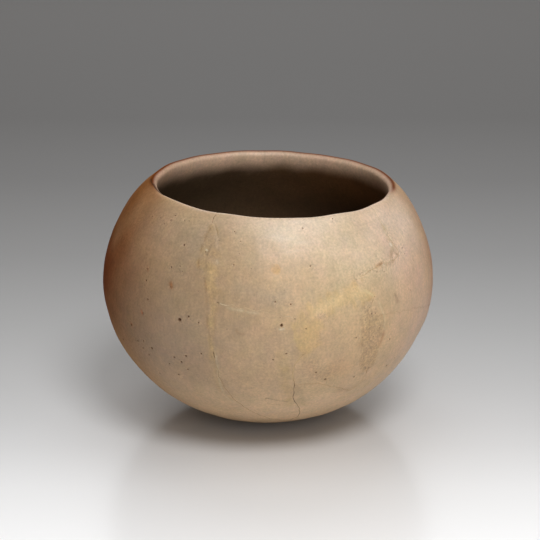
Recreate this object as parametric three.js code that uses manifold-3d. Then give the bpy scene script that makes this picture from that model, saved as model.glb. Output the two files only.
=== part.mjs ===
// A round pottery bowl, built up by hand, burnished and fired. It was broken once and is
// mended: four sherds joined along their cracks, plaster where clay is lost.
// Millimetres, +Z up, standing on Z = 0 with the front of the bowl facing -Y.

import * as THREE from "three";
import { mergeVertices } from "three/addons/utils/BufferGeometryUtils.js";
import Module from "manifold-3d";

// Driving dimensions of the vessel, in millimetres.
const BELLY_RADIUS = 83;
const BELLY_HEIGHT = 71;
const BOWL_HEIGHT = 120.2;
const MOUTH_RADIUS = 57.3;
const WALL = 6;
const LIP = 4.8;
const FLOOR = 6.5;
const FOOT_WEAR = 1.3;
const MOUTH_DRIFT = 2.1;

// Angles in degrees: how far the shoulder has turned up at the lip, and how far the bowl leans.
const SHOULDER_TURN = 57.3;
const LEAN = 1.33;

// Fullness of each curve: how far its handles reach towards the corner of its box.
const BASE_FULLNESS = 0.65;
const LOWER_FULLNESS = 0.46;
const UPPER_FULLNESS = 0.41;
const SHOULDER_FULLNESS = 0.5;
const INSIDE_FULLNESS = 0.5;
const INSIDE_LIP_DROP = 11;

// The mend: the joint left between two pieces, and how deep the surface plaster is let in.
const JOINT = 0.3;
const LEFT_FILL_DEPTH = 2.5;
const RIGHT_FILL_DEPTH = 2;
const SPOT_FILL_DEPTH = 1.8;
const SPOT_FILL_RADIUS = 2.1;

// Smoothness: facets round the bowl, rows up its section, steps between two crack points.
const AROUND = 84;
const OUTSIDE_ROWS = 22;
const LIP_ROWS = 6;
const INSIDE_ROWS = 18;
const CRACK_STEPS = 3;
const OUTLINE_STEPS = 3;
const SPOT_SIDES = 12;

const radians = THREE.MathUtils.degToRad;

// The section of the wall as a half profile, radius against height, before the bowl leans.
// Outside: from the middle of the round base, out to the belly and in to the lip.
const lipCentre = new THREE.Vector2(MOUTH_RADIUS + LIP / 2, BOWL_HEIGHT - LIP / 2);
const lipFacing = new THREE.Vector2(Math.cos(radians(SHOULDER_TURN)), Math.sin(radians(SHOULDER_TURN)));
const lipEdge = lipCentre.clone().addScaledVector(lipFacing, LIP / 2);
const shoulderReach = (BELLY_RADIUS - lipEdge.x) * SHOULDER_FULLNESS;

const outside = new THREE.CurvePath();
outside.add(
  new THREE.CubicBezierCurve(
    new THREE.Vector2(0, -FOOT_WEAR),
    new THREE.Vector2(BELLY_RADIUS * BASE_FULLNESS, -FOOT_WEAR),
    new THREE.Vector2(BELLY_RADIUS, BELLY_HEIGHT * (1 - LOWER_FULLNESS)),
    new THREE.Vector2(BELLY_RADIUS, BELLY_HEIGHT),
  ),
);
outside.add(
  new THREE.CubicBezierCurve(
    new THREE.Vector2(BELLY_RADIUS, BELLY_HEIGHT),
    new THREE.Vector2(BELLY_RADIUS, THREE.MathUtils.lerp(BELLY_HEIGHT, lipEdge.y, UPPER_FULLNESS)),
    new THREE.Vector2(lipEdge.x + lipFacing.y * shoulderReach, lipEdge.y - lipFacing.x * shoulderReach),
    lipEdge,
  ),
);
const outsideLength = outside.getLength();

// The lip is a half round, rolled over from the shoulder to the upright inner face.
const lip = new THREE.EllipseCurve(
  lipCentre.x,
  lipCentre.y,
  LIP / 2,
  LIP / 2,
  radians(SHOULDER_TURN),
  Math.PI,
);

// Inside: upright below the lip, then out under the shoulder and down to the floor.
const insideRadius = BELLY_RADIUS - WALL;
const inside = new THREE.CurvePath();
inside.add(
  new THREE.CubicBezierCurve(
    new THREE.Vector2(MOUTH_RADIUS, lipCentre.y),
    new THREE.Vector2(MOUTH_RADIUS, lipCentre.y - INSIDE_LIP_DROP),
    new THREE.Vector2(insideRadius, THREE.MathUtils.lerp(BELLY_HEIGHT, BOWL_HEIGHT, INSIDE_FULLNESS)),
    new THREE.Vector2(insideRadius, BELLY_HEIGHT),
  ),
);
inside.add(
  new THREE.CubicBezierCurve(
    new THREE.Vector2(insideRadius, BELLY_HEIGHT),
    new THREE.Vector2(insideRadius, THREE.MathUtils.lerp(BELLY_HEIGHT, FLOOR, LOWER_FULLNESS)),
    new THREE.Vector2(insideRadius * BASE_FULLNESS, FLOOR),
    new THREE.Vector2(0, FLOOR),
  ),
);

// A point of the section on the outside. The rise is its share of the way along the outside
// from the middle of the base (0) to the lip (1); past the lip it runs straight on.
function outsideAt(rise) {
  const point = outside.getPoint(Math.min(rise, 1));
  const past = Math.max(rise - 1, 0) * outsideLength;
  point.x -= lipFacing.y * past;
  point.y += lipFacing.x * past;
  return point;
}

// Settles the true round form into the bowl's own: its mouth drifts sideways, growing with the
// square of the height, and the whole bowl leans the same way.
function settle(point) {
  const drift = MOUTH_DRIFT * (point.z / BOWL_HEIGHT) ** 2;
  const lean = radians(LEAN);
  point.x += drift;
  return point.applyAxisAngle(new THREE.Vector3(0, 1, 0), lean);
}

// The bowl stands with the middle of its widest ring over the origin.
const standing = settle(new THREE.Vector3(0, 0, BELLY_HEIGHT)).setZ(0).negate();

// A point on the outside of the bowl, from degrees round from the front and the rise.
function place(azimuth, rise) {
  const section = outsideAt(rise);
  const angle = radians(azimuth);
  const point = new THREE.Vector3(section.x * Math.sin(angle), -section.x * Math.cos(angle), section.y);
  return settle(point).add(standing);
}

// The outward direction of the surface there, from the two ways that it runs: a short step
// to either side and a short step up and down.
const SIDE_STEP = 1;
const UP_STEP = 0.001;

function facing(azimuth, rise) {
  const round = place(azimuth + SIDE_STEP, rise).sub(place(azimuth - SIDE_STEP, rise));
  const up = place(azimuth, rise + UP_STEP).sub(place(azimuth, rise - UP_STEP));
  return round.cross(up).normalize();
}

const wasm = await Module();
wasm.setup();

// A closed geometry as a solid: shared vertices merged, collapsed triangles left out.
const WELD = 1e-4;

function solidOf(geometry) {
  const bare = new THREE.BufferGeometry();
  bare.setAttribute("position", geometry.getAttribute("position"));
  bare.setIndex(geometry.getIndex());
  const merged = mergeVertices(bare, WELD);
  const corners = merged.getIndex().array;
  const kept = [];
  for (let i = 0; i < corners.length; i += 3) {
    const [a, b, c] = corners.slice(i, i + 3);
    if (a !== b && b !== c && c !== a) kept.push(a, b, c);
  }
  const vertProperties = merged.getAttribute("position").array;
  const triVerts = new Uint32Array(kept);
  return new wasm.Manifold(new wasm.Mesh({ numProp: 3, vertProperties, triVerts }));
}

// A half profile turned into a closed round solid, then settled and stood in its place.
function turned(profile) {
  const geometry = new THREE.LatheGeometry(profile, AROUND);
  geometry.rotateX(Math.PI / 2);
  const position = geometry.getAttribute("position");
  const point = new THREE.Vector3();
  for (let i = 0; i < position.count; i += 1) {
    settle(point.fromBufferAttribute(position, i)).add(standing);
    position.setXYZ(i, point.x, point.y, point.z);
  }
  return solidOf(geometry);
}

// The whole vessel before it broke, worn flat under its base.
const outsideRows = outside.getSpacedPoints(OUTSIDE_ROWS);
const lipRows = lip.getPoints(LIP_ROWS).slice(1);
const insideRows = inside.getSpacedPoints(INSIDE_ROWS).slice(1);
const ground = new THREE.BoxGeometry(2 * BELLY_RADIUS, 2 * BELLY_RADIUS, BOWL_HEIGHT);
ground.translate(0, 0, -BOWL_HEIGHT / 2);
const vessel = turned([...outsideRows, ...lipRows, ...insideRows]).subtract(solidOf(ground));

// Hand points [degrees round, rise] joined by a smooth curve, which passes through each point.
function traced(points, steps) {
  const curve = new THREE.SplineCurve(points.map(([azimuth, rise]) => new THREE.Vector2(azimuth, rise)));
  return curve.getPoints(steps * (points.length - 1));
}

// Corner rings joined side by side into one skin, with its ends closed by the given triangles.
// A closed run comes back to its first ring, and its rings are open lines.
function skin(rings, caps, closed) {
  const sides = rings[0].length;
  const count = rings.length;
  const positions = rings.flat().flatMap((corner) => corner.toArray());
  const index = [];
  for (let i = 0; i < (closed ? count : count - 1); i += 1) {
    const next = (i + 1) % count;
    for (let k = 0; k < (closed ? sides - 1 : sides); k += 1) {
      const beside = (k + 1) % sides;
      const [a, b, c, d] = [i * sides + k, i * sides + beside, next * sides + beside, next * sides + k];
      index.push(a, b, c, a, c, d);
    }
  }
  index.push(...caps);
  const geometry = new THREE.BufferGeometry();
  geometry.setAttribute("position", new THREE.Float32BufferAttribute(positions, 3));
  geometry.setIndex(index);
  return solidOf(geometry);
}

// How far a cut reaches into the bowl, which is more than any wall is thick.
const through = 2 * Math.max(WALL, LIP, FLOOR);

// One crack as a thin blade right through the wall, one joint wide and square to the surface.
function crackBlade(points) {
  const path = traced(points, CRACK_STEPS);
  const spots = path.map((p) => place(p.x, p.y));
  const rings = path.map((p, i) => {
    const out = facing(p.x, p.y);
    const before = spots[Math.max(i - 1, 0)];
    const after = spots[Math.min(i + 1, spots.length - 1)];
    const across = after.clone().sub(before).cross(out).normalize().multiplyScalar(JOINT / 2);
    const top = spots[i].clone().addScaledVector(out, WALL);
    const bottom = spots[i].clone().addScaledVector(out, -through);
    return [top.clone().sub(across), top.add(across), bottom.clone().add(across), bottom.sub(across)];
  });
  const end = rings.flat().length - rings[0].length;
  const caps = [0, 2, 1, 0, 3, 2, end, end + 1, end + 2, end, end + 2, end + 3];
  return skin(rings, caps, false);
}

// A closed outline on the surface as a plug through the wall, grown sideways by a clearance.
function outlinePlug(loop, grow) {
  const count = loop.length;
  const spots = loop.map((p) => place(p.x, p.y));
  const rings = loop.map((p, i) => {
    const out = facing(p.x, p.y);
    const run = spots[(i + 1) % count].clone().sub(spots[(i + count - 1) % count]);
    const spot = spots[i].clone().addScaledVector(run.cross(out).normalize(), grow);
    return [spot.clone().addScaledVector(out, through), spot.addScaledVector(out, -through)];
  });
  const flat = loop.map((p) => new THREE.Vector2(p.x * radians(BELLY_RADIUS), p.y * outsideLength));
  const caps = THREE.ShapeUtils.triangulateShape(flat, []).flatMap(([a, b, c]) => [
    ...[2 * a, 2 * b, 2 * c],
    ...[2 * c + 1, 2 * b + 1, 2 * a + 1],
  ]);
  return skin(rings, caps, true);
}

// All that lies deeper than a given depth under the outside: the section drawn in by that depth.
function deeperThan(depth) {
  const rows = outsideRows.map((point, i) => {
    const run = outside.getTangent(i / OUTSIDE_ROWS);
    return new THREE.Vector2(Math.max(point.x - run.y * depth, 0), point.y + run.x * depth);
  });
  rows[0].x = 0;
  const top = rows[rows.length - 1];
  return turned([...rows, new THREE.Vector2(0, top.y)]);
}

// Surface plaster in a shallow pocket: the plug's share of the wall down to the depth, and the
// pocket that it leaves, one joint wider and deeper.
function inlay(loop, depth) {
  const plaster = vessel.intersect(outlinePlug(loop, 0)).subtract(deeperThan(depth));
  const pocket = outlinePlug(loop, JOINT).subtract(deeperThan(depth + JOINT));
  return { plaster, pocket };
}

// Where cracks meet, and where the two long ones run out past the lip.
const PAST_LIP = 1 + (2 * LIP) / outsideLength;
const LEFT_FORK = [-19.2, 0.762];
const PATCH_LEFT = [8.8, 0.727];
const PATCH_FOOT = [12.2, 0.625];
const PATCH_PEAK = [30.7, 0.815];
const PATCH_TIP = [37.8, 0.764];
const LOWER_FORK = [10.5, 0.516];
const BASE_FORK = [13, 0.27];

// Each crack runs from fork to fork; the last four go round the hole that the patch fills.
const CRACKS = {
  left: [
    [-26.9, PAST_LIP], [-25.6, 0.95], [-22.6, 0.86], LEFT_FORK,
    [-18.5, 0.66], [-15.9, 0.516], [-10.1, 0.423], [0, 0.335], BASE_FORK,
  ],
  level: [LEFT_FORK, [-12.3, 0.757], [-3, 0.748], [4, 0.741], PATCH_LEFT],
  right: [
    [51.2, PAST_LIP], [50.6, 0.951], [51.6, 0.895], [53.8, 0.853],
    [47, 0.841], [38, 0.834], PATCH_PEAK,
  ],
  seam: [
    PATCH_TIP, [36.2, 0.73], [37.9, 0.668], [37.3, 0.6], [39.7, 0.515],
    [36.4, 0.462], [27.5, 0.492], [18, 0.519], LOWER_FORK,
  ],
  centre: [PATCH_FOOT, [9.2, 0.58], LOWER_FORK, [11.4, 0.455], [16.6, 0.375], [17.5, 0.31], BASE_FORK],
  patchTop: [PATCH_LEFT, [12.8, 0.756], [19.6, 0.784], [25.8, 0.802], PATCH_PEAK],
  patchShoulder: [PATCH_PEAK, [34.6, 0.786], PATCH_TIP],
  patchUnder: [
    PATCH_TIP, [31.5, 0.75], [22.5, 0.738], [18, 0.705], [17.2, 0.66], [15.4, 0.632], PATCH_FOOT,
  ],
  patchSide: [PATCH_FOOT, [9.4, 0.652], [8.3, 0.69], PATCH_LEFT],
};

// Outlines of the surface plaster over the left crack and over the seam at the right.
const LEFT_FILL_OUTLINE = [
  [-25.5, 0.972], [-27.2, 0.935], [-26.8, 0.885], [-25.9, 0.842], [-22.4, 0.812], [-20.6, 0.765],
  [-19.7, 0.69], [-18.6, 0.6], [-17.4, 0.69], [-17.8, 0.79], [-18.9, 0.865], [-21.6, 0.93],
];
const RIGHT_FILL_OUTLINE = [
  [36, 0.744], [33, 0.735], [32.5, 0.67], [33.6, 0.61], [34.6, 0.565], [37.6, 0.533],
  [41.4, 0.545], [41.2, 0.6], [41.6, 0.665], [39, 0.715],
];
const SPOT_FILL_PLACE = [1.6, 0.861];

// A closed curve through an outline's points, back to its first, which isn't repeated.
function closedLoop(points) {
  const [last, first, second] = [points[points.length - 1], points[0], points[1]];
  const loop = traced([last, ...points, first, second], OUTLINE_STEPS);
  return loop.slice(OUTLINE_STEPS, OUTLINE_STEPS * (points.length + 1));
}

// The round spot as a loop: a circle of its radius on the surface.
function spotLoop() {
  const [azimuth, rise] = SPOT_FILL_PLACE;
  const across = THREE.MathUtils.radToDeg(SPOT_FILL_RADIUS / outsideAt(rise).x);
  const up = SPOT_FILL_RADIUS / outsideLength;
  return Array.from({ length: SPOT_SIDES }, (_, side) => {
    const angle = (2 * Math.PI * side) / SPOT_SIDES;
    return new THREE.Vector2(azimuth + across * Math.cos(angle), rise + up * Math.sin(angle));
  });
}

const leftFill = inlay(closedLoop(LEFT_FILL_OUTLINE), LEFT_FILL_DEPTH);
const rightFill = inlay(closedLoop(RIGHT_FILL_OUTLINE), RIGHT_FILL_DEPTH);
const spotFill = inlay(spotLoop(), SPOT_FILL_DEPTH);

// The vessel broken along its cracks and chipped out for the plaster.
const blades = Object.values(CRACKS).map(crackBlade);
const cuts = [...blades, leftFill.pocket, rightFill.pocket, spotFill.pocket];
const fragments = cuts.reduce((rest, cut) => rest.subtract(cut), vessel).decompose();

// The fragment that holds a place given by [degrees round, rise], in the middle of the wall.
function fragmentAt([azimuth, rise]) {
  const middle = place(azimuth, rise).addScaledVector(facing(azimuth, rise), -WALL / 2);
  const probe = new THREE.OctahedronGeometry(WALL / 8);
  probe.translate(middle.x, middle.y, middle.z);
  const touch = solidOf(probe);
  return fragments.find((fragment) => fragment.intersect(touch).volume() > 0);
}

// A solid as a named mesh with its own finish.
function pieceOf(name, solid, colour, roughness) {
  const made = solid.getMesh();
  const geometry = new THREE.BufferGeometry();
  geometry.setAttribute("position", new THREE.BufferAttribute(made.vertProperties, 3));
  geometry.setIndex(new THREE.BufferAttribute(made.triVerts, 1));
  geometry.computeVertexNormals();
  const finish = new THREE.MeshStandardMaterial({ color: colour, roughness, metalness: 0 });
  const piece = new THREE.Mesh(geometry, finish);
  piece.name = name;
  return piece;
}

// Burnished clay has a low sheen; plaster is matt and yellower.
const CLAY_ROUGHNESS = 0.45;
const PLASTER_ROUGHNESS = 0.75;

const bowl = new THREE.Group();
bowl.add(
  pieceOf("body_sherd", fragmentAt([180, 0.6]), 0xb99c7e, CLAY_ROUGHNESS),
  pieceOf("rim_sherd", fragmentAt([10, 0.88]), 0xd2b698, CLAY_ROUGHNESS),
  pieceOf("lower_left_sherd", fragmentAt([-5, 0.6]), 0xbfa283, CLAY_ROUGHNESS),
  pieceOf("lower_right_sherd", fragmentAt([26, 0.62]), 0xc4a88c, CLAY_ROUGHNESS),
  pieceOf("plaster_patch", fragmentAt([13.5, 0.7]), 0xc9b07c, PLASTER_ROUGHNESS),
  pieceOf("left_seam_fill", leftFill.plaster, 0xbfa577, PLASTER_ROUGHNESS),
  pieceOf("right_seam_fill", rightFill.plaster, 0xb5946e, PLASTER_ROUGHNESS),
  pieceOf("spot_fill", spotFill.plaster, 0xcfb27a, PLASTER_ROUGHNESS),
);

export default bowl;
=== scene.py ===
import math

import bpy
import numpy as np
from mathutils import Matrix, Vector
from mathutils.geometry import delaunay_2d_cdt


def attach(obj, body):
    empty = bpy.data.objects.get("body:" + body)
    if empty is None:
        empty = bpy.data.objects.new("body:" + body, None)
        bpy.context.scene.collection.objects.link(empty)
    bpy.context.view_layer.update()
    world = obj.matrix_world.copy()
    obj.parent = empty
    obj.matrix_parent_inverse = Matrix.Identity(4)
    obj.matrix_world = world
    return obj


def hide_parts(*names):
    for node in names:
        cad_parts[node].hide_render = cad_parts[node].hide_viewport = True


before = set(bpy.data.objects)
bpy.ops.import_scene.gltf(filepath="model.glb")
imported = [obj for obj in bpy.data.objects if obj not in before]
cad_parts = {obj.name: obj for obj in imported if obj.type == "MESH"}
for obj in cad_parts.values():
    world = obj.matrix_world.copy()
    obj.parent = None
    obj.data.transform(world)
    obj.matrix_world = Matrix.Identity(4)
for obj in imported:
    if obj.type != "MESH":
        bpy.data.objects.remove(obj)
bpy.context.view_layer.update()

# Body sherd. The back, the foot, both flanks and most of the lip are one sherd of coil-built
# earthenware, 6 mm thick, rubbed smooth with a pebble and fired low and smoky. The form of the
# whole vessel and the lines it broke along are worked out here, as all sherds are cut from them.

MM = 0.001
BELLY_RADIUS = 83.0
BELLY_HEIGHT = 71.0
BOWL_HEIGHT = 120.2
MOUTH_RADIUS = 57.3
WALL = 6.0
LIP = 4.8
FLOOR = 6.5
FOOT_WEAR = 1.3
MOUTH_DRIFT = 2.1
SHOULDER_TURN = 57.3
LEAN = math.radians(1.33)
BASE_FULLNESS = 0.65
LOWER_FULLNESS = 0.46
UPPER_FULLNESS = 0.41
SHOULDER_FULLNESS = 0.5
INSIDE_FULLNESS = 0.5
INSIDE_LIP_DROP = 11.0
JOINT = 0.3
LIP_DIP = 0.5
LIP_RING = 60.0
DIP_FROM = 100.0
DIP_OVER = 20.0
CURVE_POINTS = 300
LIP_POINTS = 40

lip_centre = np.array([MOUTH_RADIUS + LIP / 2, BOWL_HEIGHT - LIP / 2])


def bend(a, b, c, d):
    """Cubic curve from a to d that b and c pull: the four points, weighted by the four terms of the
    cube of (1 - t) + t."""
    t = np.linspace(0, 1, CURVE_POINTS)[:, None]
    a, b, c, d = (np.array(point, float) for point in (a, b, c, d))
    return (1 - t) ** 3 * a + 3 * (1 - t) ** 2 * t * b + 3 * (1 - t) * t ** 2 * c + t ** 3 * d


def lip_round(start, end):
    """Rounded lip from one angle above the horizontal to another, as a circle's cosine and sine."""
    turn = np.radians(np.linspace(start, end, LIP_POINTS))[:, None]
    return lip_centre + LIP / 2 * np.hstack([np.cos(turn), np.sin(turn)])


def part_way(low, high, share):
    """Value that lies a share of the way from low to high."""
    return low + (high - low) * share


def run_along(points, scale=1.0):
    """Length passed at each point of a line: the running sum of its steps, over a scale."""
    return np.concatenate([[0], np.cumsum(np.hypot(*np.diff(points, axis=0).T) / scale)])


lip_edge = lip_round(SHOULDER_TURN, 90)[0]
shoulder_reach = (BELLY_RADIUS - lip_edge[0]) * SHOULDER_FULLNESS
shoulder_pull = (
    lip_edge[0] + math.sin(math.radians(SHOULDER_TURN)) * shoulder_reach,
    lip_edge[1] - math.cos(math.radians(SHOULDER_TURN)) * shoulder_reach,
)
outside = np.vstack([
    bend((0, -FOOT_WEAR), (BELLY_RADIUS * BASE_FULLNESS, -FOOT_WEAR),
         (BELLY_RADIUS, BELLY_HEIGHT * (1 - LOWER_FULLNESS)), (BELLY_RADIUS, BELLY_HEIGHT)),
    bend((BELLY_RADIUS, BELLY_HEIGHT),
         (BELLY_RADIUS, part_way(BELLY_HEIGHT, lip_edge[1], UPPER_FULLNESS)),
         shoulder_pull, lip_edge)[1:],
    lip_round(SHOULDER_TURN, 90)[1:],
])
inside_radius = BELLY_RADIUS - WALL
inside = np.vstack([
    bend((0, FLOOR), (inside_radius * BASE_FULLNESS, FLOOR),
         (inside_radius, part_way(BELLY_HEIGHT, FLOOR, LOWER_FULLNESS)),
         (inside_radius, BELLY_HEIGHT)),
    bend((inside_radius, BELLY_HEIGHT),
         (inside_radius, part_way(BELLY_HEIGHT, BOWL_HEIGHT, INSIDE_FULLNESS)),
         (MOUTH_RADIUS, lip_centre[1] - INSIDE_LIP_DROP), (MOUTH_RADIUS, lip_centre[1]))[1:],
    lip_round(180, 90)[1:],
])

# Rise is the share of the outside length from the middle of the foot, 0, to the lip's edge, 1.
BELLY_ROW = CURVE_POINTS - 1
EDGE_ROW = 2 * CURVE_POINTS - 2
outside_run = run_along(outside)
inside_run = run_along(inside)
UP = outside_run[EDGE_ROW]
outside_rise = outside_run / UP
CREST = outside_rise[-1]
belly_rise = outside_rise[BELLY_ROW]
inside_rise = np.interp(
    inside_run, [0, inside_run[BELLY_ROW], inside_run[-1]], [0, belly_rise, CREST]
)


def waves(places, seed, shortest, longest, count=14):
    """Uneven field of about unit height: a sum of plane waves, their lengths in mm, their
    directions and their starts drawn from the seed."""
    draw = np.random.default_rng(seed)
    across = draw.normal(size=(count, places.shape[-1]))
    across /= np.linalg.norm(across, axis=1, keepdims=True)
    length = np.exp(draw.uniform(math.log(shortest), math.log(longest), count))
    start = draw.uniform(0, 2 * math.pi, count)
    phase = places @ (across / length[:, None]).T * 2 * math.pi + start
    return np.sin(phase).sum(-1) * math.sqrt(2 / count)


def ease(value):
    """Smooth step: nothing up to 0, all from 1, with a level start and end."""
    value = np.clip(value, 0, 1)
    return value * value * (3 - 2 * value)


def below_lip(rise):
    """Distance in mm down the outside from the crest of the lip."""
    return (CREST - rise) * UP


def wall_way(rise):
    """Points of the outside profile at a rise, and the straight way from them to the inside one."""
    out, inner = (
        np.stack([np.interp(rise, rises, profile[:, k]) for k in (0, 1)], -1)
        for rises, profile in ((outside_rise, outside), (inside_rise, inside)))
    return out, inner - out


def wall_place(azimuth, rise, depth):
    """Places in the wall, in mm. The profile's point is moved in by the depth, along the straight
    way to the inside profile, turned round the axis by the azimuth, dipped a little at the
    uneven lip, and then drifted, leant and stood on its foot."""
    turn = np.radians(azimuth)
    out, way = wall_way(rise)
    whole = np.hypot(*way.T)
    share = np.minimum(depth, whole) / np.maximum(whole, 1e-6)
    radius, height = (out + way * share[:, None]).T
    round_lip = np.stack([LIP_RING * np.sin(turn), LIP_RING * np.cos(turn)], -1)
    dip = LIP_DIP * (0.5 + 0.3 * waves(round_lip, 11, 18, 70))
    height = height - dip * ease((height - DIP_FROM) / DIP_OVER)
    x = radius * np.sin(turn) + MOUTH_DRIFT * (height / BOWL_HEIGHT) ** 2
    lean_x = x * math.cos(LEAN) + height * math.sin(LEAN)
    lean_z = height * math.cos(LEAN) - x * math.sin(LEAN)
    belly_shift = MOUTH_DRIFT * (BELLY_HEIGHT / BOWL_HEIGHT) ** 2 * math.cos(LEAN)
    stand = belly_shift + BELLY_HEIGHT * math.sin(LEAN)
    return np.stack([lean_x - stand, -radius * np.cos(turn), np.maximum(lean_z, 0)], -1)


# The outside is cut up on a flat map that keeps its angles true: a polar plot, the azimuth
# round it, whose reach grows by each step up over the bowl's radius there.
PAST_CREST = 1.12
ON_CREST = 2e-6
growth = np.diff(outside_run) / ((outside[1:, 0] + outside[:-1, 0]) / 2)
map_reach = np.concatenate([[0], np.exp(np.cumsum(growth) - growth.sum())])
beyond = math.exp((PAST_CREST - CREST) * UP / outside[-1, 0])
map_rise = np.append(outside_rise, PAST_CREST)
map_reach = np.append(map_reach, map_reach[-1] * beyond)


def to_map(azimuth, rise):
    """Map points of places on the outside: the reach of the rise, turned by the azimuth."""
    reach = np.interp(rise, map_rise, map_reach)
    turn = np.radians(azimuth)
    return np.stack([reach * np.sin(turn), reach * np.cos(turn)], -1)


def from_map(flat):
    """Azimuth and rise of map points, with the crest's own points set exactly on it."""
    rise = np.interp(np.hypot(*flat.T), map_reach, map_rise)
    rise = np.where(np.abs(rise - CREST) < ON_CREST, CREST, rise)
    return np.degrees(np.arctan2(flat[:, 0], flat[:, 1])), rise


def map_scale(flat):
    """Map length of one mm at each map point: the reach over the bowl's radius."""
    reach = np.maximum(np.hypot(*flat.T), 1e-4)
    rise = np.interp(reach, map_reach, map_rise)
    return reach / np.maximum(np.interp(rise, outside_rise, outside[:, 0]), 1e-3)


def gap_to(flat, line):
    """Distance in mm from map points to a line: the least to any of its steps, over the scale."""
    least = np.full(len(flat), np.inf)
    for start, end in zip(line[:-1], line[1:]):
        step = end - start
        off = flat - start
        share = np.clip(off @ step / max(step @ step, 1e-18), 0, 1)
        least = np.minimum(least, ((off - share[:, None] * step) ** 2).sum(-1))
    return np.sqrt(least) / map_scale(flat)


def is_within(flat, loop):
    """Whether map points lie in a loop: an odd count of its edges is crossed on the way out."""
    odd = np.zeros(len(flat), bool)
    for (x0, y0), (x1, y1) in zip(loop, np.roll(loop, -1, 0)):
        if y0 != y1:
            level = (y0 > flat[:, 1]) != (y1 > flat[:, 1])
            odd ^= level & (flat[:, 0] < (x1 - x0) * (flat[:, 1] - y0) / (y1 - y0) + x0)
    return odd


def smooth_line(points, steps):
    """Smooth curve through [azimuth, rise] points: a cubic for each span, whose slope at a point
    is half the way between that point's neighbours."""
    points = np.array(points, float)
    spans = len(points) - 1
    t = np.linspace(0, spans, spans * steps + 1)
    k = np.minimum(t.astype(int), spans - 1)
    t = (t - k)[:, None]
    before, here, there, after = (points[np.clip(k + j, 0, spans)] for j in (-1, 0, 1, 2))
    leave, arrive = (there - before) / 2, (after - here) / 2
    return (here + leave * t + (3 * (there - here) - 2 * leave - arrive) * t ** 2
            + (2 * (here - there) + leave + arrive) * t ** 3)


def to_left(line):
    """Unit vectors to the left of a line: its direction at each point, turned a quarter round."""
    ahead = np.gradient(line, axis=0)
    ahead /= np.linalg.norm(ahead, axis=1, keepdims=True)
    return np.stack([-ahead[:, 1], ahead[:, 0]], -1)


CRACK_STEPS = 12
JAG = 0.22
JAG_FADE = 4.0


def crack_line(points, seed):
    """Broken line on the map: a smooth line, pushed sideways by seeded waves of 4 to 16 mm that die
    out at its ends."""
    flat = to_map(*smooth_line(points, CRACK_STEPS).T)
    scale = map_scale(flat)
    passed = run_along(flat, scale[1:])
    push = JAG * waves(passed[:, None], seed, 4, 16, 7)
    push *= ease(np.minimum(passed, passed[-1] - passed) / JAG_FADE)
    return flat + to_left(flat) * (push * scale)[:, None]


MITRE_LIMIT = 0.16


def move_left(loop, distance):
    """Closed loop moved to its left by a distance in mm: each corner goes along its two edges'
    mean normal, further where the corner is sharper, up to a limit."""
    ahead = np.roll(loop, -1, 0) - loop
    ahead /= np.linalg.norm(ahead, axis=1, keepdims=True)
    mean = (ahead + np.roll(ahead, 1, 0)) / 2
    square = np.maximum((mean ** 2).sum(-1), MITRE_LIMIT)
    normal = np.stack([-mean[:, 1], mean[:, 0]], -1)
    return loop + normal * (distance * map_scale(loop) / square)[:, None]


def closed(loop):
    """Loop with its first point again at its end."""
    return np.vstack([loop, loop[:1]])


def chain(*lines):
    """Closed loop of lines that meet end to end, each without its last point."""
    return np.vstack([line[:-1] for line in lines])


OVER_LIP = 1 + 2 * LIP / UP
LEFT_FORK = [-19.2, 0.762]
PATCH_LEFT = [8.8, 0.727]
PATCH_FOOT = [12.2, 0.625]
PATCH_PEAK = [30.7, 0.815]
PATCH_TIP = [37.8, 0.764]
LOWER_FORK = [10.5, 0.516]
BASE_FORK = [13, 0.27]

LEFT_AT_LIP, RIGHT_AT_LIP = -26.9, 51.2
left_top = crack_line([[LEFT_AT_LIP, OVER_LIP], [-25.6, 0.95], [-22.6, 0.86], LEFT_FORK], 21)
left_low = crack_line([LEFT_FORK, [-18.5, 0.66], [-15.9, 0.516], [-10.1, 0.423], [0, 0.335],
                       BASE_FORK], 22)
level = crack_line([LEFT_FORK, [-12.3, 0.757], [-3, 0.748], [4, 0.741], PATCH_LEFT], 23)
right_top = crack_line([[RIGHT_AT_LIP, OVER_LIP], [50.6, 0.951], [51.6, 0.895], [53.8, 0.853],
                        [47, 0.841], [38, 0.834], PATCH_PEAK], 24)
seam = crack_line([PATCH_TIP, [36.2, 0.73], [37.9, 0.668], [37.3, 0.6], [39.7, 0.515],
                   [36.4, 0.462], [27.5, 0.492], [18, 0.519], LOWER_FORK], 25)
centre_top = crack_line([PATCH_FOOT, [9.2, 0.58], LOWER_FORK], 26)
centre_low = crack_line([LOWER_FORK, [11.4, 0.455], [16.6, 0.375], [17.5, 0.31], BASE_FORK], 27)
patch_top = crack_line([PATCH_LEFT, [12.8, 0.756], [19.6, 0.784], [25.8, 0.802], PATCH_PEAK], 28)
patch_shoulder = crack_line([PATCH_PEAK, [34.6, 0.786], PATCH_TIP], 29)
patch_under = crack_line([PATCH_TIP, [31.5, 0.75], [22.5, 0.738], [18, 0.705], [17.2, 0.66],
                          [15.4, 0.632], PATCH_FOOT], 30)
patch_side = crack_line([PATCH_FOOT, [9.4, 0.652], [8.3, 0.69], PATCH_LEFT], 31)
LIP_STEPS = 40
over_lip = to_map(np.linspace(RIGHT_AT_LIP, LEFT_AT_LIP, LIP_STEPS), np.full(LIP_STEPS, OVER_LIP))
broken_out = chain(left_top, left_low, centre_low[::-1], seam[::-1], patch_shoulder[::-1],
                   right_top[::-1], over_lip)
patch_loop = chain(patch_under[::-1], patch_shoulder[::-1], patch_top[::-1], patch_side[::-1])

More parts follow.
